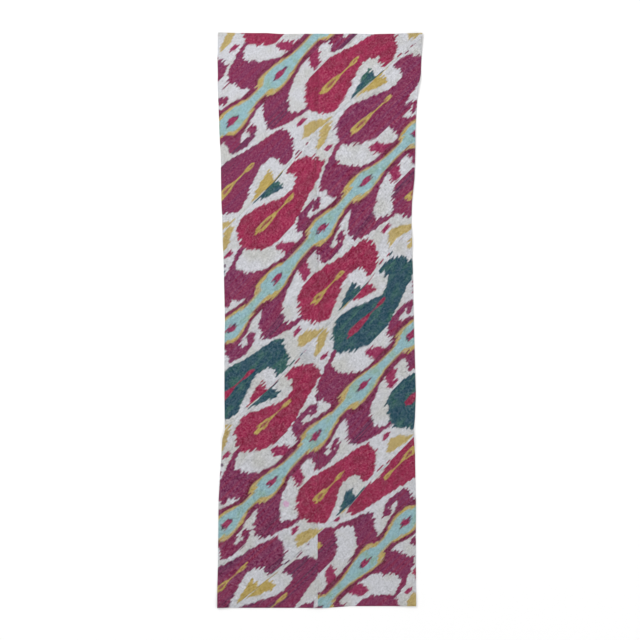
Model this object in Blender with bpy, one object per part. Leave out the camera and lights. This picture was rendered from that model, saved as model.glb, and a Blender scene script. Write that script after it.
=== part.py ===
# An ikat cloth lying flat: two panels, each pieced from bias-cut strips sewn along their selvedges.
# Metres, +Z up, +X to the right and +Y to the top edge. The underside rests on Z = 0.
import math
from collections import namedtuple

import bmesh
import bpy

LENGTH = 1.640
THICKNESS = 0.0015
SEAM_GAP = 0.0003
WARP_ANGLE = math.radians(46.5)
GRID_STEP = 0.0205
CORNER_SPACING = 0.002
RIDGE_FADE = 0.45
CUT_TOLERANCE = 1e-6
MEETING_STEPS = 60
CLOTH_ROUGHNESS = 0.85
TOP = LENGTH / 2
BOTTOM = -TOP

# The two long edges: a row for each height where the edge changes direction.
EdgeRow = namedtuple("EdgeRow", "height left right")
LONG_EDGES = (
    EdgeRow(0.830, -0.2900, 0.2927),
    EdgeRow(0.805, -0.2903, 0.2920),
    EdgeRow(0.747, -0.2920, 0.2896),
    EdgeRow(0.700, -0.2908, 0.2875),
    EdgeRow(0.665, -0.2915, 0.2805),
    EdgeRow(0.610, -0.2886, 0.2766),
    EdgeRow(0.542, -0.2863, 0.2723),
    EdgeRow(0.474, -0.2827, 0.2718),
    EdgeRow(0.405, -0.2817, 0.2696),
    EdgeRow(0.337, -0.2806, 0.2626),
    EdgeRow(0.269, -0.2774, 0.2612),
    EdgeRow(0.132, -0.2735, 0.2653),
    EdgeRow(0.000, -0.2704, 0.2678),
    EdgeRow(-0.073, -0.2720, 0.2700),
    EdgeRow(-0.210, -0.2720, 0.2735),
    EdgeRow(-0.279, -0.2713, 0.2709),
    EdgeRow(-0.313, -0.2703, 0.2675),
    EdgeRow(-0.340, -0.2780, 0.2680),
    EdgeRow(-0.381, -0.2806, 0.2712),
    EdgeRow(-0.450, -0.2851, 0.2723),
    EdgeRow(-0.518, -0.2888, 0.2737),
    EdgeRow(-0.689, -0.2903, 0.2737),
    EdgeRow(-0.757, -0.2922, 0.2740),
    EdgeRow(-0.830, -0.2927, 0.2740),
)

# The middle seam between the panels.
SeamRow = namedtuple("SeamRow", "height across")
MIDDLE_SEAM = (
    SeamRow(0.830, -0.0067),
    SeamRow(0.745, -0.0055),
    SeamRow(0.700, -0.0038),
    SeamRow(0.608, -0.0042),
    SeamRow(0.580, -0.0073),
    SeamRow(0.490, -0.0075),
    SeamRow(0.460, -0.0106),
    SeamRow(0.400, -0.0095),
    SeamRow(0.270, -0.0070),
    SeamRow(0.215, -0.0044),
    SeamRow(0.060, -0.0024),
    SeamRow(-0.115, -0.0024),
    SeamRow(-0.600, -0.0062),
    SeamRow(-0.770, -0.0062),
    SeamRow(-0.830, -0.0053),
)

# The top and bottom hems, and the slanting seams from left to right. Each runs past the long edges.
HemRow = namedtuple("HemRow", "across height")
TOP_HEM = (
    HemRow(-0.300, TOP),
    HemRow(-0.256, TOP - 0.0012),
    HemRow(-0.150, TOP - 0.0016),
    HemRow(-0.115, TOP - 0.0040),
    HemRow(-0.017, TOP - 0.0035),
    HemRow(0.052, TOP - 0.0039),
    HemRow(0.086, TOP - 0.0029),
    HemRow(0.154, TOP - 0.0046),
    HemRow(0.223, TOP - 0.0032),
    HemRow(0.300, TOP - 0.0012),
)
BOTTOM_HEM = (
    HemRow(-0.300, BOTTOM),
    HemRow(-0.256, BOTTOM + 0.0013),
    HemRow(-0.245, BOTTOM + 0.0010),
    HemRow(-0.225, BOTTOM + 0.0004),
    HemRow(0.020, BOTTOM + 0.0002),
    HemRow(0.052, BOTTOM + 0.0028),
    HemRow(0.086, BOTTOM + 0.0053),
    HemRow(0.300, BOTTOM + 0.0055),
)
FIRST_SEAM = (
    HemRow(-0.3000, 0.2250),
    HemRow(-0.2789, 0.2455),
    HemRow(-0.1951, 0.3320),
    HemRow(-0.1290, 0.3966),
    HemRow(-0.0703, 0.4650),
    HemRow(-0.0073, 0.5365),
    HemRow(0.1013, 0.6370),
    HemRow(0.1495, 0.6827),
    HemRow(0.2890, 0.8030),
    HemRow(0.3000, 0.8120),
)
SECOND_SEAM = (
    HemRow(-0.3000, -0.3420),
    HemRow(-0.2718, -0.3140),
    HemRow(-0.2076, -0.2500),
    HemRow(-0.1290, -0.1820),
    HemRow(-0.0711, -0.1205),
    HemRow(-0.0024, -0.0420),
    HemRow(0.0554, 0.0200),
    HemRow(0.1344, 0.1040),
    HemRow(0.1649, 0.1460),
    HemRow(0.2310, 0.2300),
    HemRow(0.3000, 0.2960),
)
THIRD_SEAM = (
    HemRow(-0.3000, -0.8640),
    HemRow(-0.2450, BOTTOM + 0.0010),
    HemRow(-0.2204, -0.7967),
    HemRow(-0.1312, -0.7255),
    HemRow(-0.0680, -0.6720),
    HemRow(-0.0067, -0.6100),
    HemRow(0.0831, -0.5330),
    HemRow(0.1469, -0.4560),
    HemRow(0.2669, -0.3330),
    HemRow(0.3000, -0.3020),
)

# The third seam runs out through the bottom hem, so the strip under it starts at this blunt tip.
SEAM_FOOT = (
    EdgeRow(0.830, -0.2440, -0.2440),
    EdgeRow(-0.830, -0.2440, -0.2440),
)

# Soft ridges where the cloth doesn't lie quite flat, each along a line from one end to the other.
Ridge = namedtuple("Ridge", "start_x start_y end_x end_y rise reach")
RIDGES = (
    Ridge(-0.296, 0.825, -0.245, 0.790, 0.0032, 0.060),
    Ridge(0.296, 0.822, 0.235, 0.775, 0.0030, 0.060),
    Ridge(0.290, 0.668, 0.170, 0.715, 0.0034, 0.046),
    Ridge(0.250, 0.540, 0.243, 0.350, 0.0026, 0.038),
    Ridge(-0.240, 0.640, -0.090, 0.520, 0.0018, 0.055),
    Ridge(-0.285, 0.235, -0.165, 0.300, 0.0030, 0.048),
    Ridge(0.050, 0.320, 0.215, 0.385, 0.0018, 0.050),
    Ridge(0.270, 0.235, 0.180, 0.170, 0.0024, 0.042),
    Ridge(-0.210, 0.040, -0.060, -0.050, 0.0016, 0.055),
    Ridge(0.020, -0.085, 0.215, -0.270, 0.0022, 0.050),
    Ridge(-0.280, -0.327, -0.150, -0.262, 0.0036, 0.046),
    Ridge(0.275, -0.335, 0.170, -0.400, 0.0034, 0.046),
    Ridge(-0.200, -0.520, -0.050, -0.610, 0.0018, 0.055),
    Ridge(0.060, -0.600, 0.190, -0.520, 0.0016, 0.050),
    Ridge(-0.012, -0.690, -0.008, -0.830, 0.0026, 0.036),
    Ridge(0.280, -0.820, 0.215, -0.770, 0.0030, 0.055),
    Ridge(-0.298, -0.825, -0.235, -0.765, 0.0030, 0.055),
)

# Each strip's piece: its outer edge, the seams or hems above it and below it, and its mean dyed colour.
Strip = namedtuple("Strip", "name side edge above below colour")
STRIPS = (
    Strip("left_panel_strip_1", "left", LONG_EDGES, (TOP_HEM,), (FIRST_SEAM,), (0.34, 0.16, 0.21)),
    Strip("left_panel_strip_2", "left", LONG_EDGES, (FIRST_SEAM,), (SECOND_SEAM,), (0.36, 0.13, 0.18)),
    Strip("left_panel_strip_3", "left", LONG_EDGES, (SECOND_SEAM,), (THIRD_SEAM, BOTTOM_HEM), (0.30, 0.15, 0.18)),
    Strip("left_panel_strip_4", "left", SEAM_FOOT, (THIRD_SEAM,), (BOTTOM_HEM,), (0.32, 0.15, 0.20)),
    Strip("right_panel_strip_1", "right", LONG_EDGES, (TOP_HEM,), (FIRST_SEAM,), (0.38, 0.12, 0.18)),
    Strip("right_panel_strip_2", "right", LONG_EDGES, (FIRST_SEAM,), (SECOND_SEAM,), (0.34, 0.15, 0.20)),
    Strip("right_panel_strip_3", "right", LONG_EDGES, (SECOND_SEAM,), (THIRD_SEAM,), (0.28, 0.16, 0.18)),
    Strip("right_panel_strip_4", "right", LONG_EDGES, (THIRD_SEAM,), (BOTTOM_HEM,), (0.33, 0.16, 0.20)),
)


def clear_scene():
    for old in list(bpy.data.objects):
        bpy.data.objects.remove(old, do_unlink=True)


def between(rows, place, known, wanted):
    """The wanted column at this place, in a straight line between the two rows around it."""
    for first, second in zip(rows, rows[1:]):
        low, high = sorted((getattr(first, known), getattr(second, known)))
        if low <= place <= high:
            share = (place - getattr(first, known)) / (getattr(second, known) - getattr(first, known))
            return getattr(first, wanted) + share * (getattr(second, wanted) - getattr(first, wanted))
    raise ValueError(f"{place} is outside the table")


def side_line(strip, which):
    """(the place across at a height, the heights with a corner) of a strip's left or right side."""
    if which == strip.side:
        return lambda y: between(strip.edge, y, "height", which), [row.height for row in strip.edge]
    inward = -SEAM_GAP / 2 if which == "right" else SEAM_GAP / 2
    return lambda y: between(MIDDLE_SEAM, y, "height", "across") + inward, [row.height for row in MIDDLE_SEAM]


def level_line(tables, away):
    """(the height at a place across, the places with a corner); away is 1 or -1, off the seam's middle."""

    def height_in(rows, x):
        sewn = rows not in (TOP_HEM, BOTTOM_HEM)
        off = away * SEAM_GAP / 2 / math.cos(WARP_ANGLE) if sewn else 0.0
        return between(rows, x, "across", "height") + off

    return lambda x: max(height_in(rows, x) for rows in tables), [row.across for rows in tables for row in rows]


def meeting(upright, level):
    """The point where a side of the strip meets a seam or hem, closed in on from the middle of the cloth."""
    height = 0.0
    for _ in range(MEETING_STEPS):
        height = level(upright(height))
    return upright(height), height


def corners_between(places, start, end):
    """The table's places that lie between start and end, in the order in which they are met."""
    low, high = sorted((start, end))
    inner = sorted(place for place in places if low + CORNER_SPACING < place < high - CORNER_SPACING)
    return inner if start < end else inner[::-1]


def outline(strip):
    """The strip's corners in order, anticlockwise from its lower left corner."""
    left_at, left_heights = side_line(strip, "left")
    right_at, right_heights = side_line(strip, "right")
    above_at, above_places = level_line(strip.above, -1)
    below_at, below_places = level_line(strip.below, 1)
    upper_left = meeting(left_at, above_at)
    upper_right = meeting(right_at, above_at)
    lower_right = meeting(right_at, below_at)
    lower_left = meeting(left_at, below_at)
    points = [lower_left]
    points += [(x, below_at(x)) for x in corners_between(below_places, lower_left[0], lower_right[0])]
    points += [lower_right]
    points += [(right_at(y), y) for y in corners_between(right_heights, lower_right[1], upper_right[1])]
    points += [upper_right]
    points += [(x, above_at(x)) for x in corners_between(above_places, upper_right[0], upper_left[0])]
    points += [upper_left]
    points += [(left_at(y), y) for y in corners_between(left_heights, upper_left[1], lower_left[1])]
    return points


def lift(x, y):
    """How far the cloth stands off the surface here."""
    height = 0.0
    for ridge in RIDGES:
        run_x = ridge.end_x - ridge.start_x
        run_y = ridge.end_y - ridge.start_y
        share = ((x - ridge.start_x) * run_x + (y - ridge.start_y) * run_y) / (run_x**2 + run_y**2)
        share = min(max(share, 0.0), 1.0)
        away = math.hypot(x - ridge.start_x - share * run_x, y - ridge.start_y - share * run_y)
        if away < ridge.reach:
            crown = (1 - (away / ridge.reach) ** 2) ** 2
            height += ridge.rise * crown * (1 - RIDGE_FADE * share)
    return height


def grid_lines(low, high):
    first = math.ceil(low / GRID_STEP)
    last = math.floor(high / GRID_STEP)
    return [index * GRID_STEP for index in range(first, last + 1)]


def cut_into_grid(bm):
    """Cuts the flat outline into squares, so that it can follow the ridges."""
    for axis in (0, 1):
        places = [vertex.co[axis] for vertex in bm.verts]
        for line in grid_lines(min(places), max(places)):
            normal = (1.0 - axis, float(axis), 0.0)
            point = (line, line, 0.0)
            geometry = bm.verts[:] + bm.edges[:] + bm.faces[:]
            bmesh.ops.bisect_plane(bm, geom=geometry, dist=CUT_TOLERANCE, plane_co=point, plane_no=normal)


def cloth_material(name, colour):
    material = bpy.data.materials.new(name)
    material.use_nodes = True
    shader = material.node_tree.nodes["Principled BSDF"]
    shader.inputs["Base Color"].default_value = (*colour, 1.0)
    shader.inputs["Roughness"].default_value = CLOTH_ROUGHNESS
    shader.inputs["Metallic"].default_value = 0.0
    return material


def make_strip(strip):
    bm = bmesh.new()
    corners = [bm.verts.new((x, y, 0.0)) for x, y in outline(strip)]
    bm.faces.new(corners)
    cut_into_grid(bm)
    top = bmesh.ops.extrude_face_region(bm, geom=bm.faces[:])
    raised = [item for item in top["geom"] if isinstance(item, bmesh.types.BMVert)]
    bmesh.ops.translate(bm, verts=raised, vec=(0.0, 0.0, THICKNESS))
    for vertex in bm.verts:
        vertex.co.z += lift(vertex.co.x, vertex.co.y)
    bmesh.ops.triangulate(bm, faces=bm.faces[:])
    bmesh.ops.recalc_face_normals(bm, faces=bm.faces[:])
    mesh = bpy.data.meshes.new(strip.name)
    bm.to_mesh(mesh)
    bm.free()
    mesh.materials.append(cloth_material(strip.name, strip.colour))
    piece = bpy.data.objects.new(strip.name, mesh)
    bpy.context.scene.collection.objects.link(piece)
    return piece


clear_scene()
for cut_strip in STRIPS:
    make_strip(cut_strip)
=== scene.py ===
import math

import bmesh
import bpy
import numpy
from mathutils import Matrix, Vector, kdtree, noise
from mathutils.bvhtree import BVHTree


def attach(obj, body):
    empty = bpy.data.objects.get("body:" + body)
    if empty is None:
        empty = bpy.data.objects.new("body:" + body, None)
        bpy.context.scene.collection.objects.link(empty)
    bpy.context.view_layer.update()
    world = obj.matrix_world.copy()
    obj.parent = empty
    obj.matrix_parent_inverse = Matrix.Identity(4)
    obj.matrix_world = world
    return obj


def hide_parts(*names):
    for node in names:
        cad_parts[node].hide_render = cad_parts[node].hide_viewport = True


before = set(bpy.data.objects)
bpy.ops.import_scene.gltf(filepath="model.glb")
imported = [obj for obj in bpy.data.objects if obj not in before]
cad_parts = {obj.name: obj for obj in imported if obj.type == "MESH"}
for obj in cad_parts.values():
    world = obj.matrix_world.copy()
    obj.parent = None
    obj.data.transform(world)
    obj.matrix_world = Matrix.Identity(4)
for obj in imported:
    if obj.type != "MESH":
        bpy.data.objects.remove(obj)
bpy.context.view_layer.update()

# Sizes that every piece shares. The chart counts in bundles, the groups of warp threads that were tied and
# dyed together.
cloth = {
    "bundle": 0.00285,        # width of a bundle, and the chart's unit along the warp too
    "warpAngle": math.radians(46.5),
    "originAcross": 452.5,    # bundles across the strips at the cloth's middle
    "originAlong": -12.1,     # bundles along the warp at the cloth's middle
    "repeat": 134.0,          # bundles from one almond to the next
    "halfStrip": 69.5,        # bundles from the blue band to the strip's edge
    "bandReach": 9,           # bundles that still follow the band's own stretch
    "blendReach": 12,         # bundles past them that go over to the half strip's stretch
    "thick": 0.0007,
    "layerGap": 0.0001,
    "meshCuts": 4,
    "hemTurn": 0.0135,        # cloth turned under at the outer edges
    "seamTurn": 0.0080,       # cloth turned under at the seams
    "sewnWithin": 0.0027,     # a rim this near another strip's rim is a seam
    "seamFold": 0.4,          # how far a fold at a seam stands in, against 1 for a fold at a hem
    "stepOff": 0.0045,        # how far past the turning the top layer takes to come down
    "seedStep": 7.3,          # sets each strip's noises apart from the others'
}

# How each strip's pattern lies. Rows are (place along the warp, count there), all in bundles.
seamLines = {
    "first": [(-17, 322.1), (25, 322.4), (58, 323.9), (89, 322.2), (123, 321.0), (175, 324.1), (198, 325.6),
              (262, 331.8)],
    "second": [(-157, 458.9), (-126, 460.1), (-90, 463.9), (-77, 463.5), (-60, 463.0), (-23, 462.0),
               (7, 460.8), (47, 461.5), (65, 458.9), (103, 454.8), (116, 456.5)],
    "third": [(-279, 587.6), (-268, 588.8), (-228, 594.3), (-200, 597.8), (-169, 598.3), (-128, 601.5),
              (-92, 599.2), (-33, 599.7)],
}
bandOne = {
    "axis": [(50, 250), (72, 251.5), (140, 254), (190, 254)],
    "band": [(5, -134), (72, -67), (140, 0), (208, 67)],
    "low": [(6, -134), (88, -44), (97, -43), (140, 0), (274, 134)],
    "high": [(-6, -134), (60, -75), (106, -28), (134, 0), (150, 16), (178, 36), (203, 58), (216, 76),
             (250, 106), (280, 134)],
    "lowSeam": None,
    "highSeam": "first",
    "streaks": [(28, 7)],
    "pistil": "first",
    "wings": ("wing", "wing"),
    "hooks": ("curl", "curl"),
    "dyes": {0: "crimson", -1: "plum"},
}
bandTwo = {
    "axis": [(-60, 394), (-40, 393.5), (20, 392), (50, 391), (100, 389), (122, 390), (145, 391.5),
             (185, 393.5)],
    "band": [(-145, -268), (-80, -201), (-10, -134), (55, -67), (122, 0), (190, 67)],
    "low": [(-150, -268), (-11, -134), (6, -117), (28, -105), (60, -74), (76, -57), (108, -28), (130, 0),
            (178, 30), (207, 59), (248, 99), (276, 134)],
    "high": [(-156, -268), (-50, -162), (-22, -134), (84, -28), (119, 0), (225, 106), (253, 134)],
    "lowSeam": "first",
    "highSeam": "second",
    "streaks": [(31, 5)],
    "pistil": "second",
    "wings": ("longWing", "wing"),
    "hooks": ("hook", "curl"),
    "dyes": {0: "plum", -1: "crimson", -2: "teal"},
}
bandThree = {
    "axis": [(-220, 525), (-160, 529), (-100, 529), (-30, 528.5), (20, 529)],
    "band": [(-300, -268), (-225, -201), (-163, -134), (-100, -67), (-30, 0), (40, 67)],
    "low": [(-286, -266), (-160, -134), (-130, -111), (-46, -28), (-22, 0), (22, 30), (47, 57), (67, 77),
            (97, 106), (125, 134)],
    "high": [(-304, -268), (-230, -191), (-195, -162), (-168, -134), (-98, -57), (-65, -28), (-37, 0),
             (97, 134)],
    "lowSeam": "second",
    "highSeam": "third",
    "streaks": [(31, 5), (64, 7)],
    "pistil": "third",
    "wings": ("longWing", "wing"),
    "hooks": ("hook", "curl"),
    "dyes": {0: "teal", -1: "crimson", -2: "plum"},
}
bandFour = {
    "axis": [(-210, 650), (-157, 652), (-100, 653.5), (-33, 655)],
    "band": [(-224, 201), (-157, 134), (-100, 67), (-33, 0)],
    "low": [(-288, 266), (-155, 134), (-134, 106), (-119.5, 92.5), (-85, 63.5), (-20, 0)],
    "high": [(-297, 268), (-163, 134), (-30, 0)],
    "lowSeam": None,
    "highSeam": None,
    "streaks": [(-39, 8)],
    "pistil": "fourth",
    "wings": ("shortWing", "shortWing"),
    "hooks": ("curl", "curl"),
    "dyes": {0: "crimson", 1: "plum"},
}
bandFoot = {
    "axis": [(-290, 661), (-180, 661)],
    "band": [(-300, 0), (-166, 134)],
    "low": [(-296, 0), (-232, 63), (-218, 76), (-198, 91.5), (-186, 102), (-158, 134)],
    "high": [(-296, 0), (-162, 134)],
    "lowSeam": "third",
    "highSeam": None,
    "streaks": [(-60, 8), (-45, 5)],
    "pistil": "fourth",
    "wings": ("shortWing", "shortWing"),
    "hooks": ("curl", "curl"),
    "dyes": {0: "plum", 1: "plum"},
}
strips = {
    "left_panel_strip_1": bandOne,
    "left_panel_strip_2": bandTwo,
    "left_panel_strip_3": bandThree,
    "left_panel_strip_4": bandFoot,
    "right_panel_strip_1": bandOne,
    "right_panel_strip_2": bandTwo,
    "right_panel_strip_3": bandThree,
    "right_panel_strip_4": bandFour,
}

# The half repeat, charted. Rows are (bundles out from the blue band, lowest, highest along the warp).
chart = {
    "almond": [(24, 24, 30), (25, 19, 42), (26.5, 15, 48), (28, 12.5, 53), (30, 10, 60), (32, 8, 68),
               (34, 6, 76), (36, 4, 85), (38, 2.5, 93), (40, 1, 99), (43, -1, 103), (48.5, -1, 103.5),
               (55.5, 3, 101), (60, 6, 97.5), (63, 9, 94.5), (65.5, 14, 90.5), (66.6, 20, 89),
               (67.2, 70, 88), (72, 72, 84)],
    "drop": [(50.6, 60, 64), (51.5, 55, 69), (53, 50, 72.5), (55, 45.5, 74.5), (57.5, 40, 76),
             (60, 34.5, 76), (63, 28, 75), (65.5, 21, 74), (66.6, 12, 73), (72, 0, 72)],
    "leaf": [(58.3, 57, 59), (59.5, 52.5, 60.5), (61.5, 46.5, 60.5), (63.5, 41, 60), (65.5, 36.5, 59.5),
             (67.5, 32, 59), (69, 27, 58.5), (72, 24, 58)],
    "wing": [(2, -20, 40), (8, -29.5, 24), (12, -34, 12), (16, -36.5, 4), (20, -38.5, -2), (25, -41, -8),
             (30, -43, -12.5), (33, -41.5, -14.5), (36.5, -37, -14.5), (39, -31, -12), (41, -25, -9),
             (43.2, -20, -3), (43.6, -18, 4), (45.8, -10, 4), (46.5, -6, 2)],
    "longWing": [(2, -20, 40), (8, -33, 22), (12, -39, 7), (16, -44.5, -3), (20, -49, -9),
                 (25, -51.5, -14.5), (30, -50, -17.5), (33, -46.5, -18.5), (36.5, -40, -18.5),
                 (39, -33, -16), (41, -27, -12), (43.2, -21, -3), (43.6, -18, 4), (46.2, -10, 4),
                 (47, -6, 2)],
    "shortWing": [(2, -20, 40), (8, -30, 20), (12, -34.5, 5), (16, -37, -4), (20, -39, -9),
                  (25, -42, -14.5), (30, -44, -18.5), (33, -42, -20), (36.5, -37, -19), (39, -31, -16),
                  (41, -25, -11.5), (43.2, -20, -3), (43.6, -18, 4), (45.8, -10, 4), (46.5, -6, 2)],
    "hookBody": [(7, 47, 99), (9.3, 46.5, 97), (9.8, 46, 86), (12, 45.5, 78), (14, 45, 72), (15.6, 45, 68),
                 (17.5, 45.5, 64.5), (19.5, 46, 62.5), (21.2, 46.5, 64), (22.2, 47.5, 73),
                 (22.8, 48.5, 79.5), (24.5, 52, 82), (26, 56, 81), (27, 61, 78), (27.6, 66, 74)],
    "hookTip": [(16.4, 75, 78), (17.2, 73, 80), (18.6, 71.8, 82), (20.5, 73, 83), (21.8, 75.5, 83),
                (23, 75.5, 83), (24.5, 74, 82)],
    "curlBody": [(7, 47, 99), (9.3, 46.5, 97), (9.8, 46, 86), (12, 45.5, 78), (14, 45, 72), (15.6, 45, 68),
                 (17.5, 44.5, 63.5), (19.5, 43, 60), (21.2, 42, 60.5), (22.2, 41.5, 67), (22.8, 42, 72.5),
                 (24.5, 44, 74.5), (26, 48, 73), (27, 53, 70), (27.6, 58, 66)],
    "curlTip": [(16.4, 74, 78), (17.2, 71.5, 80), (18.6, 69.5, 81), (20.5, 69, 80.5), (21.8, 69, 79),
                (23, 69, 77.5), (24.5, 68, 76.5)],
    "bean": [(7, 24, 37), (10, 21, 34.5), (13, 18.5, 32.5), (16, 17, 30), (19, 16, 27.5),
             (21.5, 15.5, 25.5), (22.2, 15.5, 24)],
    "dash": [(48, -16, -12), (49.5, -19, -9.5), (51.5, -20, -9.5), (53, -17, -12)],
    "blossom": [(56, -17, -11), (58, -20, -6), (61, -24, -2), (64, -24, 1), (66, -21, 3), (67, -14, 5),
                (68.5, -4, 7), (72, 0, 8)],
    "tendril": [(56.5, -22, -15), (58, -25, -8), (60, -24, -3), (62, -19, 1), (64.5, -12, 4.5),
                (67.5, -6, 6.5), (70, -2, 7), (72, 0, 7)],
}
chartSpan = {"out": 72, "along": 128, "wide": 16}    # more than any value in the tables
# What runs along the warp, as (place along the repeat, half width), in bundles.
runs = {
    "pistil": [(16.5, -1.5), (18.5, 2), (21, 3.5), (26, 3.3), (31, 2.4), (35, 1.5), (39, 0.7), (44, 0.4),
               (49, 0.5), (52, 1.4), (57, 2.0), (61, 1.6), (63.5, -1.5)],
    "seed": [(21, -1.5), (23.5, 1.0), (26, 1.5), (29, 1.2), (32, 0.3), (35, -1.5), (53, -1.5), (56, 0.5),
             (59, 0.4), (61, -1.5)],
    "blue": [(-40, 3.4), (-22, 3.5), (-18, 4.5), (-14, 7.0), (-10, 8.8), (-5, 9.4), (0, 9), (5, 8),
             (10, 6.9), (15, 5.6), (20, 4.6), (26, 3.6), (40, 3.3), (51, 3.8), (56, 6.3), (60, 8),
             (65, 9.2), (70, 9.2), (75, 8.3), (80, 7), (85, 5.6), (90, 4.6), (94, 3.8)],
    "gold": [(-40, 4.6), (-28, 4.8), (-25, 7.2), (-21, 10.2), (-15, 11.3), (-10, 11.3), (-5, 11), (0, 10.4),
             (5, 9.6), (10, 8.6), (15, 7.1), (20, 6.0), (26, 4.9), (40, 4.6), (48, 4.7), (52, 7.6),
             (56, 10.5), (60, 11.3), (65, 11.7), (70, 11.4), (75, 10.7), (80, 9.5), (85, 8), (90, 6.6),
             (94, 5.2)],
}
# The dark ovals in the blue band, as (place along the repeat, half width, half length), in bundles
ovals = [(0, 3.0, 8.0), (67.5, 3.5, 6.8)]
# Each half strip, in bundles: how far out its pistil is, how far that slips towards lower counts in the first
# repeat and in the others, and how far the hooks slip towards higher counts in the first and in the others
pistils = {
    "first": {"low": (46, 0, 0, 0, 0), "high": (43.8, 0, 6, 9, 0)},
    "second": {"low": (45.3, 10, 1, 7, 4), "high": (44, 2, 0, 0, 0)},
    "third": {"low": (45.8, 4.5, 0, 7, 7), "high": (43.5, -6, -5, 0, 0)},
    "fourth": {"low": (45.5, 0, 0, -2, 9), "high": (44.5, 0, 0, 0, 0)},
}

# Dyed colours as red, green and blue out of 255, as they show in the studio's light.
dyes = {
    "coolCream": (202, 203, 209),
    "warmCream": (193, 193, 191),
    "crimson": (156, 43, 80),
    "crimsonDeep": (138, 42, 72),
    "plum": (122, 49, 88),
    "plumRed": (134, 44, 78),
    "darkStreak": (80, 46, 76),
    "teal": (40, 76, 92),
    "tealGreen": (58, 98, 90),
    "turquoise": (144, 180, 188),
    "turquoiseGreen": (140, 172, 160),
    "mustard": (186, 164, 92),
    "goldBrown": (164, 138, 78),
    "pinkStain": (205, 135, 185),
    "blueSmudge": (120, 132, 170),
    "outline": (108, 34, 62),
    "bean": (146, 46, 86),
    "hemThread": (150, 118, 128),
}
studioLight = 1.20    # how much the studio's light brightens a base colour
stains = [
    {"x": -0.0965, "y": -0.5237, "reach": 0.011, "strength": 0.60, "colour": "pinkStain"},
    {"x": -0.0366, "y": -0.0990, "reach": 0.030, "strength": 0.16, "colour": "blueSmudge"},
    {"x": -0.2703, "y": 0.1546, "reach": 0.006, "strength": 0.80, "colour": "darkStreak"},
    {"x": -0.2789, "y": -0.4125, "reach": 0.006, "strength": 0.80, "colour": "darkStreak"},
]


def dyed(name):
    # A colour of the studio picture as a base colour: linear, and without the light's strength
    linear = [((value / 255 + 0.055) / 1.055) ** 2.4 for value in dyes[name]]
    return (*[channel / studioLight for channel in linear], 1.0)


class Flow:
    # Wraps one output socket, so that shader maths reads as sums
    def __init__(self, tree, socket=None):
        self.tree = tree
        self.socket = socket

    def node(self, kind, settings, inputs, output=0):
        made = self.tree.nodes.new(kind)
        for key, value in settings.items():
            if key == "points":
                self.bend(made, value)
            else:
                setattr(made, key, value)
        for key, value in inputs.items():
            if isinstance(value, Flow):
                self.tree.links.new(value.socket, made.inputs[key])
            else:
                made.inputs[key].default_value = value
        return Flow(self.tree, made.outputs[output])

    def bend(self, made, points):
        curve = made.mapping.curves[0]
        for x, y in points[1:-1]:
            curve.points.new(x, y)
        curve.points[0].location = points[0]
        curve.points[-1].location = points[-1]
        for point in curve.points:
            point.handle_type = "VECTOR"
        made.mapping.update()

    def maths(self, operation, *values, clamp=False):
        settings = {"operation": operation, "use_clamp": clamp}
        return self.node("ShaderNodeMath", settings, dict(enumerate(values)))

    def __add__(self, other):
        return self.maths("ADD", self, other)

    def __radd__(self, other):
        return self.maths("ADD", other, self)

    def __sub__(self, other):
        return self.maths("SUBTRACT", self, other)

    def __rsub__(self, other):
        return self.maths("SUBTRACT", other, self)

    def __mul__(self, other):
        return self.maths("MULTIPLY", self, other)

    def __rmul__(self, other):
        return self.maths("MULTIPLY", other, self)

    def clamped(self, slope, offset):
        return self.maths("MULTIPLY_ADD", self, slope, offset, clamp=True)

    def wrapped(self, low):
        return self.maths("WRAP", self, low + cloth["repeat"], low)


def mixed(share, first, second):
    settings = {"data_type": "RGBA", "clamp_factor": True}
    return share.node("ShaderNodeMix", settings, {0: share, 6: first, 7: second}, 2)


def curved(along, points, low, span, tall):
    # Reads a table of (place, value) at a place, between low and low + span, with values from -tall to tall
    scaled = [((place - low) / span, (value + tall) / (2 * tall)) for place, value in points]
    if scaled[0][0] > 0:
        scaled.insert(0, (0.0, scaled[0][1]))
    if scaled[-1][0] < 1:
        scaled.append((1.0, scaled[-1][1]))
    share = along.clamped(1 / span, -low / span)
    return share.node("ShaderNodeFloatCurve", {"points": scaled}, {"Value": share}) * (2 * tall) - tall


def shapeMask(out, along, rows, soft=1.3):
    # 1 inside a charted shape. Past its first and last rows the lower side stands above the upper one.
    near, far, shut, beyond = rows[0], rows[-1], 4, 0.3
    lowest = [(near[0] - beyond, near[1] + shut)]
    lowest += [(place, low) for place, low, high in rows]
    lowest += [(far[0] + beyond, far[1] + shut)]
    highest = [(near[0] - beyond, near[1] - shut)]
    highest += [(place, high) for place, low, high in rows]
    highest += [(far[0] + beyond, far[1] - shut)]
    above = along - curved(out, lowest, 0, chartSpan["out"], chartSpan["along"])
    below = curved(out, highest, 0, chartSpan["out"], chartSpan["along"]) - along
    return above.clamped(1 / soft, 0.5) * below.clamped(1 / soft, 0.5)


def widthMask(out, along, points, low, soft=0.9):
    wide = curved(along, points, low, cloth["repeat"], chartSpan["wide"])
    return (wide - out).clamped(1 / soft, 0.5)


def speckle(flow, across, along, detail, seed):
    place = flow.node("ShaderNodeCombineXYZ", {}, {0: across, 1: along, 2: seed})
    inputs = {"Vector": place, "Scale": 1.0, "Detail": detail, "Roughness": 0.55}
    return flow.node("ShaderNodeTexNoise", {"noise_dimensions": "3D"}, inputs)


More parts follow.
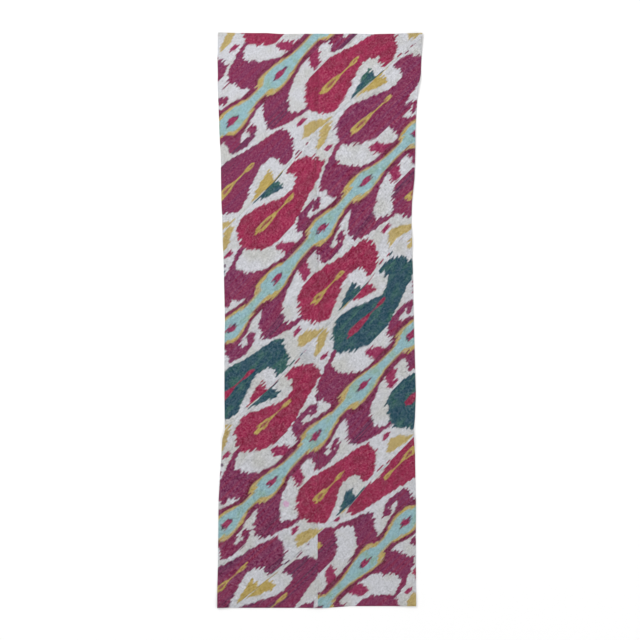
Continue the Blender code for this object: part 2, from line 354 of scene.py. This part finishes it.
# The cloth's yarn and dyeing. Noises are (scale across, scale along, detail, seed): those of the dyeing count
# in bundles, and those of the yarn in metres.
tying = {
    "wide": 1.35,             # bundles that move together
    "high": 15.0,             # how far their ties are up or down, at most
    "slip": 7.0,              # how far threads slip by themselves, at most
    "inBand": 1.25,           # the same in the blue band, against 1 elsewhere
    "apart": 3.71,            # noise steps from one bundle to the next
    "run": 0.045,             # noise steps along the warp
}
weave = {"rib": 0.00090, "thread": 0.00042}
finish = {"Roughness": 0.72, "Specular IOR Level": 0.15, "Sheen Weight": 0.05, "Sheen Roughness": 0.45}
countFrom = {"almond": -14, "wing": -60, "band": -40}    # where a repeat's count starts for each shape
dyeNoises = {
    "abrash": (0.55, 0.012, 3.0, 11),
    "patch": (0.045, 0.040, 2.0, 17),
    "blot": (0.16, 0.09, 2.0, 19),
    "lines": (1.3, 0.018, 2.0, 31),
}
yarnNoises = {
    "fine": (900, 260, 2.0, 23),
    "slub": (95, 400, 2.0, 29),
    "mottle": (430, 75, 2.0, 37),
    "speck": (240, 240, 1.0, 41),
    "warpGrain": (560, 190, 1.0, 43),
    "weftGrain": (190, 560, 1.0, 47),
}


def ikatMaterial(name, strip, seed):
    material = bpy.data.materials.new(name)
    material.use_nodes = True
    tree = material.node_tree
    shader = tree.nodes["Principled BSDF"]
    flow = Flow(tree)
    place = flow.node("ShaderNodeUVMap", {"uv_map": "chart"}, {})
    signed = flow.node("ShaderNodeSeparateXYZ", {}, {0: place}, 0)
    along = flow.node("ShaderNodeSeparateXYZ", {}, {0: place}, 1)
    lowHalf = signed.clamped(-1000, 0.5)
    bandMap = flow.node("ShaderNodeUVMap", {"uv_map": "bandChart"}, {})
    bandAlong = flow.node("ShaderNodeSeparateXYZ", {}, {0: bandMap}, 1)
    halves = pistils[strip["pistil"]]

    def byHalf(low, high):
        return lowHalf * (low - high) + high

    def noises(table, across, up):
        made = []
        for wide, tall, detail, own in table.values():
            made.append(speckle(flow, across * wide, up * tall, detail, seed + own))
        return made

    pistilPlace, firstPistil, otherPistil, firstHook, otherHook = map(byHalf, halves["low"], halves["high"])

    def repeatOf(place):
        return flow.maths("FLOOR", (place - countFrom["almond"]) * (1 / cloth["repeat"]))

    # Bundles: each is tied a little high or low, and its own threads slip a little too
    bundle = flow.maths("FLOOR", signed * (1 / tying["wide"]))
    tied = speckle(flow, bundle * tying["apart"], along * tying["run"], 1.0, seed)
    slipped = speckle(flow, signed * 2.3, along * 0.09, 2.0, seed + 5)
    shift = (tied - 0.5) * tying["high"] + (slipped - 0.5) * tying["slip"]
    stepped = flow.maths("ABSOLUTE", (bundle + 0.5) * tying["wide"])
    out = stepped + (slipped - 0.5) * 0.9
    plainOut = flow.maths("ABSOLUTE", signed)
    shifted = along + shift
    body = shifted.wrapped(countFrom["almond"])
    lower = shifted.wrapped(countFrom["wing"])
    count = repeatOf(shifted)
    firstRepeat = flow.maths("COMPARE", count, 0, 0.5)
    bandShifted = bandAlong + shift
    firstInBand = flow.maths("COMPARE", repeatOf(bandShifted), 0, 0.5)
    hooked = (bandShifted - otherHook - (firstHook - otherHook) * firstInBand).wrapped(countFrom["almond"])

    # Dyes, uneven along the warp and in broad patches
    abrash, patch, blot, lines = noises(dyeNoises, signed, along)
    ground = mixed(patch.clamped(5.0, -2.2), dyed("coolCream"), dyed("warmCream"))
    plum = mixed(abrash.clamped(4.5, -1.9), dyed("plum"), dyed("plumRed"))
    for middle, reach in strip["streaks"]:
        beside = (reach - flow.maths("ABSOLUTE", signed - middle)).clamped(0.5, 0.0)
        plum = mixed(beside * lines.clamped(9.0, -4.5), plum, dyed("darkStreak"))
    crimson = mixed(blot.clamped(4.0, -1.5), dyed("crimson"), dyed("crimsonDeep"))
    green = blot * 0.6 + abrash * 0.4
    teal = mixed(green.clamped(6.0, -2.8), dyed("teal"), dyed("tealGreen"))
    mustard = mixed(slipped.clamped(4.0, -1.7), dyed("mustard"), dyed("goldBrown"))
    turquoise = mixed(blot.clamped(5.0, -2.4), dyed("turquoise"), dyed("turquoiseGreen"))
    baths = {"crimson": crimson, "plum": plum, "teal": teal}
    leaves = {"crimson": teal, "plum": mustard, "teal": crimson}
    hearts = {"crimson": mustard, "plum": mustard, "teal": crimson}
    seeds = {"crimson": dyed("crimsonDeep"), "plum": dyed("plumRed"), "teal": crimson}

    def byRepeat(choice):
        picked = None
        for number, dye in strip["dyes"].items():
            if picked is None:
                picked = choice[dye]
            else:
                picked = mixed(flow.maths("COMPARE", count, number, 0.5), picked, choice[dye])
        return picked

    almondDye, leafDye, heartDye = byRepeat(baths), byRepeat(leaves), byRepeat(hearts)

    def inHalves(along, names, part=""):
        masks = [shapeMask(out, along, chart[name + part]) for name in dict.fromkeys(names)]
        return masks[0] if len(masks) == 1 else masks[1] + (masks[0] - masks[1]) * lowHalf

    wings = inHalves(lower, strip["wings"])
    hookBodies, hookTips = inHalves(hooked, strip["hooks"], "Body"), inHalves(hooked, strip["hooks"], "Tip")
    curls = flow.maths("MAXIMUM", hookBodies, hookTips)
    colour = mixed(flow.maths("MAXIMUM", wings, curls), ground, plum)
    colour = mixed(shapeMask(out, hooked, chart["bean"]), colour, dyed("bean"))
    colour = mixed(shapeMask(out, body, chart["almond"]), colour, almondDye)
    colour = mixed(shapeMask(out, body, chart["drop"]), colour, ground)
    colour = mixed(shapeMask(out, body, chart["leaf"]), colour, leafDye)
    slid = body + otherPistil + (firstPistil - otherPistil) * firstRepeat
    pistilOut = flow.maths("ABSOLUTE", plainOut * 0.5 + stepped * 0.5 - pistilPlace)
    pistil = widthMask(pistilOut, slid, runs["pistil"], countFrom["almond"])
    seedMask = widthMask(pistilOut, slid, runs["seed"], countFrom["almond"]) * 0.8
    colour = mixed(pistil, colour, heartDye)
    colour = mixed(seedMask, colour, byRepeat(seeds))
    colour = mixed(shapeMask(out, lower, chart["dash"]), colour, dyed("bean"))
    petals = shapeMask(out, lower, chart["blossom"], 2.2) * (1 - lowHalf)
    petals = petals + shapeMask(out, lower, chart["tendril"], 2.2) * lowHalf
    colour = mixed(petals * 0.92, colour, mustard)

    # The blue band with its bulbs, gold lining and dark margin
    bandPlace = (bandAlong + shift * tying["inBand"]).wrapped(countFrom["band"])
    bandOut = plainOut * 0.45 + stepped * 0.55
    gold = curved(bandPlace, runs["gold"], countFrom["band"], cloth["repeat"], chartSpan["wide"])
    blue = curved(bandPlace, runs["blue"], countFrom["band"], cloth["repeat"], chartSpan["wide"])
    margin = flow.maths("MAXIMUM", gold + 3.6, 9.8)
    edging = mixed(blot.clamped(4, -1.5), dyed("outline"), plum)
    colour = mixed((margin - bandOut).clamped(0.9, 0.5), colour, edging)
    feathered = mixed(slipped.clamped(7.0, -3.6) * 0.45, mustard, ground)
    colour = mixed((gold - bandOut).clamped(0.8, 0.5), colour, feathered)
    colour = mixed((blue - bandOut).clamped(0.7, 0.5), colour, turquoise)
    for middle, halfWide, halfLong in ovals:
        sideways = flow.maths("POWER", bandOut * (1 / halfWide), 2)
        lengthways = flow.maths("POWER", flow.maths("ABSOLUTE", (bandPlace - middle) * (1 / halfLong)), 1.5)
        heart = mixed(lengthways.clamped(3.0, -0.9), dyed("bean"), dyed("darkStreak"))
        colour = mixed((1.0 - sideways - lengthways).clamped(2.0, 0.5), colour, heart)

    # Threads: light and dark along the warp, slubs across it, and the ribs of the weft; with painted light
    # over all, the cloth lighter towards +y and darker towards -y
    spot = flow.node("ShaderNodeTexCoord", {}, {}, 3)
    cosine, sine = math.cos(cloth["warpAngle"]), math.sin(cloth["warpAngle"])
    dot = {"operation": "DOT_PRODUCT"}
    threadAt = flow.node("ShaderNodeVectorMath", dot, {0: spot, 1: (sine, -cosine, 0.0)}, 1)
    ribAt = flow.node("ShaderNodeVectorMath", dot, {0: spot, 1: (cosine, sine, 0.0)}, 1)
    fine, slub, mottle, speck, warpGrain, weftGrain = noises(yarnNoises, threadAt, ribAt)
    grit = warpGrain + weftGrain - 1.0
    rib = flow.maths("ABSOLUTE", flow.maths("SINE", ribAt * (math.pi / weave["rib"]) + (slub - 0.5) * 1.5))
    yarn = flow.maths("ABSOLUTE", flow.maths("SINE", threadAt * (math.pi / weave["thread"])))
    # Painted light: the y term in the tone below brightens the colour towards +y and darkens it towards -y
    paintedLightY = flow.node("ShaderNodeSeparateXYZ", {}, {0: spot}, 1)
    toneAndPaintedLight = 0.165 + abrash * 0.22 + fine * 0.20 + slub * 0.50 + mottle * 0.60
    toneAndPaintedLight = (toneAndPaintedLight + speck * 0.15 + paintedLightY * 0.085 + grit * 0.60) * (0.93 + rib * 0.07)
    darken = {"data_type": "RGBA", "blend_type": "MULTIPLY"}
    lighten = {"data_type": "RGBA", "blend_type": "ADD", "clamp_result": True}
    tonedAndPaintedLight = flow.node("ShaderNodeMix", darken, {0: 1.0, 6: colour, 7: toneAndPaintedLight}, 2)
    tonedAndPaintedLight = flow.node("ShaderNodeMix", lighten, {0: 1.0, 6: tonedAndPaintedLight, 7: grit * 0.11}, 2)
    flecks = slub.clamped(7.0, -4.3) * 0.16 + mottle.clamped(5.0, -2.7) * 0.09
    fleckedAndPaintedLight = mixed(flecks, tonedAndPaintedLight, dyed("coolCream"))
    for stain in stains:
        centre = (stain["x"], stain["y"], 0.0)
        away = flow.node("ShaderNodeVectorMath", {"operation": "DISTANCE"}, {0: spot, 1: centre}, 1)
        spread = (1.0 + (mottle - 0.5) * 1.6 - away * (1 / stain["reach"])).clamped(2.5, 0.0)
        fleckedAndPaintedLight = mixed(spread * stain["strength"], fleckedAndPaintedLight, dyed(stain["colour"]))
    tree.links.new(fleckedAndPaintedLight.socket, shader.inputs["Base Color"])
    relief = rib * 0.7 + yarn * 0.3 + fine * 0.4
    settings = {"Height": relief, "Strength": 0.5, "Distance": 0.0002}
    tree.links.new(flow.node("ShaderNodeBump", {}, settings).socket, shader.inputs["Normal"])
    for socket, value in finish.items():
        shader.inputs[socket].default_value = value
    return material


# Soft creases, a row each: start x, start y, end x, end y, rise, reach. They are the solids' own ridges.
creases = [
    (-0.296, 0.825, -0.245, 0.790, 0.0032, 0.060),
    (0.296, 0.822, 0.235, 0.775, 0.0030, 0.060),
    (0.290, 0.668, 0.170, 0.715, 0.0034, 0.046),
    (0.250, 0.540, 0.243, 0.350, 0.0026, 0.038),
    (-0.240, 0.640, -0.090, 0.520, 0.0018, 0.055),
    (-0.285, 0.235, -0.165, 0.300, 0.0030, 0.048),
    (0.050, 0.320, 0.215, 0.385, 0.0018, 0.050),
    (0.270, 0.235, 0.180, 0.170, 0.0024, 0.042),
    (-0.210, 0.040, -0.060, -0.050, 0.0016, 0.055),
    (0.020, -0.085, 0.215, -0.270, 0.0022, 0.050),
    (-0.280, -0.327, -0.150, -0.262, 0.0036, 0.046),
    (0.275, -0.335, 0.170, -0.400, 0.0034, 0.046),
    (-0.200, -0.520, -0.050, -0.610, 0.0018, 0.055),
    (0.060, -0.600, 0.190, -0.520, 0.0016, 0.050),
    (-0.012, -0.690, -0.008, -0.830, 0.0026, 0.036),
    (0.280, -0.820, 0.215, -0.770, 0.0030, 0.055),
    (-0.298, -0.825, -0.235, -0.765, 0.0030, 0.055),
]
creaseFade = 0.45        # how much of its rise a crease loses by its end
rippleHeight = 0.0009


def lieOfCloth(x, y):
    # How far the cloth's underside stands off the floor
    height = 0.0
    for startX, startY, endX, endY, rise, reach in creases:
        runX, runY = endX - startX, endY - startY
        share = ((x - startX) * runX + (y - startY) * runY) / (runX * runX + runY * runY)
        share = min(max(share, 0.0), 1.0)
        away = math.hypot(x - startX - share * runX, y - startY - share * runY)
        if away < reach:
            height += rise * (1 - (away / reach) ** 2) ** 2 * (1 - creaseFade * share)
    broad = noise.noise(Vector((x * 22, y * 16, 3.1))) * 0.5
    narrow = noise.noise(Vector((x * 55, y * 48, 8.7))) * 0.2
    return height + rippleHeight * max(broad + narrow + 0.1, 0.0)


def treeOf(points):
    tree = kdtree.KDTree(len(points))
    for index, point in enumerate(points):
        tree.insert((point[0], point[1], 0.0), index)
    tree.balance()
    return tree


def eased(share):
    return share * share * (3 - 2 * share)


def faceOf(name):
    # The upper face of a strip's solid, copied and cut finer
    bm = bmesh.new()
    bm.from_mesh(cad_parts[name].data)
    bmesh.ops.remove_doubles(bm, verts=bm.verts[:], dist=1e-5)
    hidden = [face for face in bm.faces if face.normal.z < 0.5]
    bmesh.ops.delete(bm, geom=hidden, context="FACES")
    bmesh.ops.subdivide_edges(bm, edges=bm.edges[:], cuts=cloth["meshCuts"], use_grid_fill=True)
    return bm


def rimPoints(name):
    bm = faceOf(name)
    points = [vert.co.to_2d() for vert in bm.verts if vert.is_boundary]
    bm.free()
    return points


def inwardSide(edge):
    # Level and square to an edge of the rim, into the cloth
    first, second = (end.co.to_2d() for end in edge.verts)
    side = Vector((first.y - second.y, second.x - first.x)).normalized()
    centre = edge.link_faces[0].calc_center_median().to_2d()
    return side if side.dot(centre - first) > 0 else -side


def inwardAt(vert):
    # Into the cloth at a vertex of the rim, and longer at a corner, so that the turning keeps its width
    inward = Vector((0.0, 0.0))
    for edge in vert.link_edges:
        if edge.is_boundary:
            inward += inwardSide(edge)
    return inward.normalized() * min(2.0 / max(inward.length, 1e-6), 1.6)


def clothUnder(face, place):
    return face.ray_cast((place.x, place.y, 1.0), (0.0, 0.0, -1.0))[0] is not None


def warpMeasures(x, y):
    # Metres along the warp and across it
    cosine, sine = math.cos(cloth["warpAngle"]), math.sin(cloth["warpAngle"])
    return x * cosine + y * sine, x * sine - y * cosine


def readRows(rows, along):
    # A table of (place, count) at places along the warp, carried on straight past its ends
    places, counts = zip(*rows)
    low = counts[0] + (along - places[0]) * (counts[1] - counts[0]) / (places[1] - places[0])
    high = counts[-1] + (along - places[-1]) * (counts[-1] - counts[-2]) / (places[-1] - places[-2])
    inside = numpy.interp(along, places, counts)
    return numpy.where(along < places[0], low, numpy.where(along > places[-1], high, inside))


def chartPlaces(strip, flatPoints):
    # The chart's counts for points of the cloth laid flat: out from the band, along the half, along the band
    along, across = warpMeasures(flatPoints[:, 0], flatPoints[:, 1])
    across = cloth["originAcross"] + across / cloth["bundle"]
    along = cloth["originAlong"] + along / cloth["bundle"]
    axis = numpy.interp(along, *zip(*strip["axis"]))
    signed = across - axis
    for side, seam in ((-1, strip["lowSeam"]), (1, strip["highSeam"])):
        if seam:
            halfWide = side * (numpy.interp(along, *zip(*seamLines[seam])) - axis)
            signed = numpy.where(signed * side > 0, signed * cloth["halfStrip"] / halfWide, signed)
    share = eased(numpy.clip((numpy.abs(signed) - cloth["bandReach"]) / cloth["blendReach"], 0, 1))
    half = numpy.where(signed > 0, readRows(strip["high"], along), readRows(strip["low"], along))
    band = readRows(strip["band"], along)
    return signed, band * (1 - share) + half * share, band


def turnWidths(bm, rim, inward, sewn):
    # How wide the turning is at each vertex of the rim: less where a corner has no room for the whole of it
    face = BVHTree.FromBMesh(bm)
    widths = {}
    for vert in rim:
        whole = cloth["seamTurn"] if sewn[vert] else cloth["hemTurn"]
        for part in (1.0, 0.6, 0.3, 0.1, 0.0):
            if part == 0.0 or clothUnder(face, vert.co.to_2d() + inward[vert] * whole * part):
                widths[vert] = whole * part
                break
    return widths


def doubledAt(vert, trees):
    # 1 where the cloth lies over its turning, and less past it
    doubled = 0.0
    for tree, turn in trees:
        away = tree.find((vert.co.x, vert.co.y, 0.0))[2]
        if away is not None:
            share = min(max((turn + cloth["stepOff"] - away) / cloth["stepOff"], 0.0), 1.0)
            doubled = max(doubled, eased(share))
    return doubled


# The turning, a ring each: bends in, bends up, and how much cloth is past the fold. The last ring lies flat.
foldRings = [(0.3, 1.7, 0.4), (0.0, 1.0, 1.5), (0.3, 0.3, 2.6), (1.0, 0.0, 3.1), (None, 0.0, None)]


def turnUnder(bm, rim, inward, widths, tight, flat):
    # Rolls rings of cloth out of the rim, round the fold and back under, and notes where each would lie flat
    half, bend = cloth["thick"] / 2, (cloth["thick"] + cloth["layerGap"]) / 2
    ring = {vert: vert for vert in rim}
    edges = [edge for edge in bm.edges if edge.is_boundary]
    for bendsIn, bendsUp, past in foldRings:
        made = bmesh.ops.extrude_edge_only(bm, edges=edges)
        edges = [item for item in made["geom"] if isinstance(item, bmesh.types.BMEdge)]
        fresh = {item for item in made["geom"] if isinstance(item, bmesh.types.BMVert)}
        nextRing = {}
        for origin, last in ring.items():
            twin = next(edge.other_vert(last) for edge in last.link_edges if edge.other_vert(last) in fresh)
            deep = widths[origin] if bendsIn is None else (half + bend * bendsIn) * tight[origin]
            beyond = widths[origin] if past is None else bend * past
            twin.co.xy = flat[origin] + inward[origin] * deep
            twin.co.z = lieOfCloth(twin.co.x, twin.co.y) + half + bend * bendsUp
            flat[twin] = flat[origin] - inward[origin] * beyond
            nextRing[origin] = twin
        ring = nextRing


def chartLayers(bm, strip, flatPoints):
    # Writes the chart's counts to the two layers that the cloth's material reads
    signed, along, band = chartPlaces(strip, flatPoints)
    layer = bm.loops.layers.uv.new("chart")
    bandLayer = bm.loops.layers.uv.new("bandChart")
    for face in bm.faces:
        face.smooth = True
        for loop in face.loops:
            loop[layer].uv = (signed[loop.vert.index], along[loop.vert.index])
            loop[bandLayer].uv = (signed[loop.vert.index], band[loop.vert.index])


def pieceFrom(name, bm, material):
    mesh = bpy.data.meshes.new(name)
    bm.to_mesh(mesh)
    bm.free()
    mesh.materials.append(material)
    piece = bpy.data.objects.new(name, mesh)
    bpy.context.scene.collection.objects.link(piece)
    return piece


def plainMaterial(name, colour, roughness):
    material = bpy.data.materials.new(name)
    material.use_nodes = True
    shader = material.node_tree.nodes["Principled BSDF"]
    shader.inputs["Base Color"].default_value = colour
    shader.inputs["Roughness"].default_value = roughness
    return material


def makeStrip(name, strip, number, otherRims):
    bm = faceOf(name)
    rim = [vert for vert in bm.verts if vert.is_boundary]
    inward = {vert: inwardAt(vert) for vert in rim}
    sewn = {vert: otherRims.find(vert.co.to_2d().to_3d())[2] < cloth["sewnWithin"] for vert in rim}
    tight = {vert: cloth["seamFold"] if sewn[vert] else 1.0 for vert in rim}
    trees = [(treeOf([vert.co for vert in rim if sewn[vert]]), cloth["seamTurn"])]
    trees.append((treeOf([vert.co for vert in rim if not sewn[vert]]), cloth["hemTurn"]))
    widths = turnWidths(bm, rim, inward, sewn)
    flat = {vert: vert.co.to_2d() for vert in bm.verts}
    faceArea = sum(face.calc_area() for face in bm.faces)

    # The face: up by one layer over its own turning, and drawn in a little at the folds
    half, lift = cloth["thick"] / 2, cloth["thick"] + cloth["layerGap"]
    for vert in bm.verts:
        doubled = doubledAt(vert, trees)
        if vert in inward:
            doubled = 1.0
            vert.co.xy = flat[vert] + inward[vert] * (half + lift / 2) * tight[vert]
        vert.co.z = lieOfCloth(*flat[vert]) + half + lift * doubled
    turnUnder(bm, rim, inward, widths, tight, flat)

    bm.verts.index_update()
    bmesh.ops.recalc_face_normals(bm, faces=bm.faces[:])
    bm.verts.ensure_lookup_table()
    if bm.verts[0].normal.z < 0:
        bmesh.ops.reverse_faces(bm, faces=bm.faces[:])
    flatPoints = numpy.array([flat[vert] for vert in bm.verts])
    chartLayers(bm, strip, flatPoints)
    whole = sum(face.calc_area() for face in bm.faces)

    piece = pieceFrom(f"cloth_{name}", bm, ikatMaterial(f"ikat_{name}", strip, number * cloth["seedStep"]))
    solid = piece.modifiers.new("thickness", "SOLIDIFY")
    solid.thickness = cloth["thick"]
    solid.offset = 0.0
    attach(piece, "root")
    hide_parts(name)


# The studio. Lamps are (place, size, watts). The camera looks straight down and frames the photo's width.
studio = {
    "floor": (0.90, 0.90, 0.90, 1.0),
    "floorRoughness": 0.9,
    "floorReach": 6.0,
    "floorDrop": -0.0001,
    "sky": 0.80,
    "lamps": {
        "keyLight": ((-2.6, 2.2, 2.4), 2.0, 90),
        "fillLight": ((2.8, -1.6, 2.6), 3.0, 30),
    },
    "lens": 100.0,
    "sensor": 36.0,
    "frameWidth": 1.824,
    "above": (0.0004, 0.0007),
}
ground = bmesh.new()
drop = Matrix.Translation((0, 0, studio["floorDrop"]))
bmesh.ops.create_grid(ground, x_segments=1, y_segments=1, size=studio["floorReach"], matrix=drop)
floor = pieceFrom("floor", ground, plainMaterial("paleFloor", studio["floor"], studio["floorRoughness"]))
print("floor laid")

rims = {name: rimPoints(name) for name in strips}
otherRims = {}
for name in strips:
    otherRims[name] = treeOf([point for other, points in rims.items() if other != name for point in points])
print("rims read")
for number, (name, strip) in enumerate(strips.items()):
    makeStrip(name, strip, number, otherRims[name])

# Small slip stitches that hold the turned hems down
hemming = {
    "inset": 0.0118,          # from the cloth's edge to the stitch
    "long": 0.0021,
    "wide": 0.0005,
    "every": 2,               # rim edges from one stitch to the next
    "shortestEdge": 0.002,    # a rim edge under this has no stitch
    "clearOfSeam": 0.006,     # no stitch nearer than this to another strip
    "lean": 0.5,              # radians that a stitch may lean
    "leanScale": 90,
    "roughness": 0.8,
}


def hemStitches(name):
    # One strip's stitches, in a mesh of their own, because the sphere operator is slow in a large mesh
    sewing = bmesh.new()
    bm = faceOf(name)
    face = BVHTree.FromBMesh(bm)
    outer = [edge for edge in bm.edges if edge.is_boundary and edge.calc_length() > hemming["shortestEdge"]]
    for edge in outer[::hemming["every"]]:
        first, second = (end.co.to_2d() for end in edge.verts)
        middle = (first + second) / 2
        place = middle + inwardSide(edge) * hemming["inset"]
        nearest = otherRims[name].find((middle.x, middle.y, 0.0))[2]
        if nearest < hemming["clearOfSeam"] or not clothUnder(face, place):
            continue
        spot = Vector((place.x * hemming["leanScale"], place.y * hemming["leanScale"], 1.7))
        lean = noise.noise(spot) * hemming["lean"]
        turn = Matrix.Rotation(math.atan2(second.y - first.y, second.x - first.x) + lean, 4, "Z")
        size = Matrix.Diagonal((hemming["long"] / 2, hemming["wide"] / 2, hemming["wide"] / 2, 1.0))
        top = lieOfCloth(place.x, place.y) + 2 * cloth["thick"] + cloth["layerGap"]
        put = Matrix.Translation((place.x, place.y, top)) @ turn @ size
        bmesh.ops.create_uvsphere(sewing, u_segments=8, v_segments=5, radius=1.0, matrix=put)
    bm.free()
    mesh = bpy.data.meshes.new("hemPart")
    sewing.to_mesh(mesh)
    sewing.free()
    return mesh


threads = bmesh.new()
for name in strips:
    part = hemStitches(name)
    threads.from_mesh(part)
    bpy.data.meshes.remove(part)
for strand in threads.faces:
    strand.smooth = True
cotton = plainMaterial("hemThread", dyed("hemThread"), hemming["roughness"])
stitches = pieceFrom("hem_stitches", threads, cotton)
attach(stitches, "root")
print(f"hem stitches: {len(stitches.data.polygons)} faces")

world = bpy.data.worlds.new("studio")
world.use_nodes = True
world.node_tree.nodes["Background"].inputs["Color"].default_value = (1.0, 1.0, 1.0, 1.0)
world.node_tree.nodes["Background"].inputs["Strength"].default_value = studio["sky"]
bpy.context.scene.world = world
for name, (place, size, watts) in studio["lamps"].items():
    light = bpy.data.lights.new(name, "AREA")
    light.shape = "SQUARE"
    light.size = size
    light.energy = watts
    lamp = bpy.data.objects.new(name, light)
    lamp.location = place
    lamp.rotation_euler = (-Vector(place)).to_track_quat("-Z", "Y").to_euler()
    bpy.context.scene.collection.objects.link(lamp)

camera = bpy.data.objects.new("camera", bpy.data.cameras.new("camera"))
camera.data.lens = studio["lens"]
camera.location = (*studio["above"], studio["frameWidth"] / studio["sensor"] * studio["lens"])
bpy.context.scene.collection.objects.link(camera)
bpy.context.scene.camera = camera
bpy.context.scene.view_settings.view_transform = "Standard"
print("lamps and camera set")
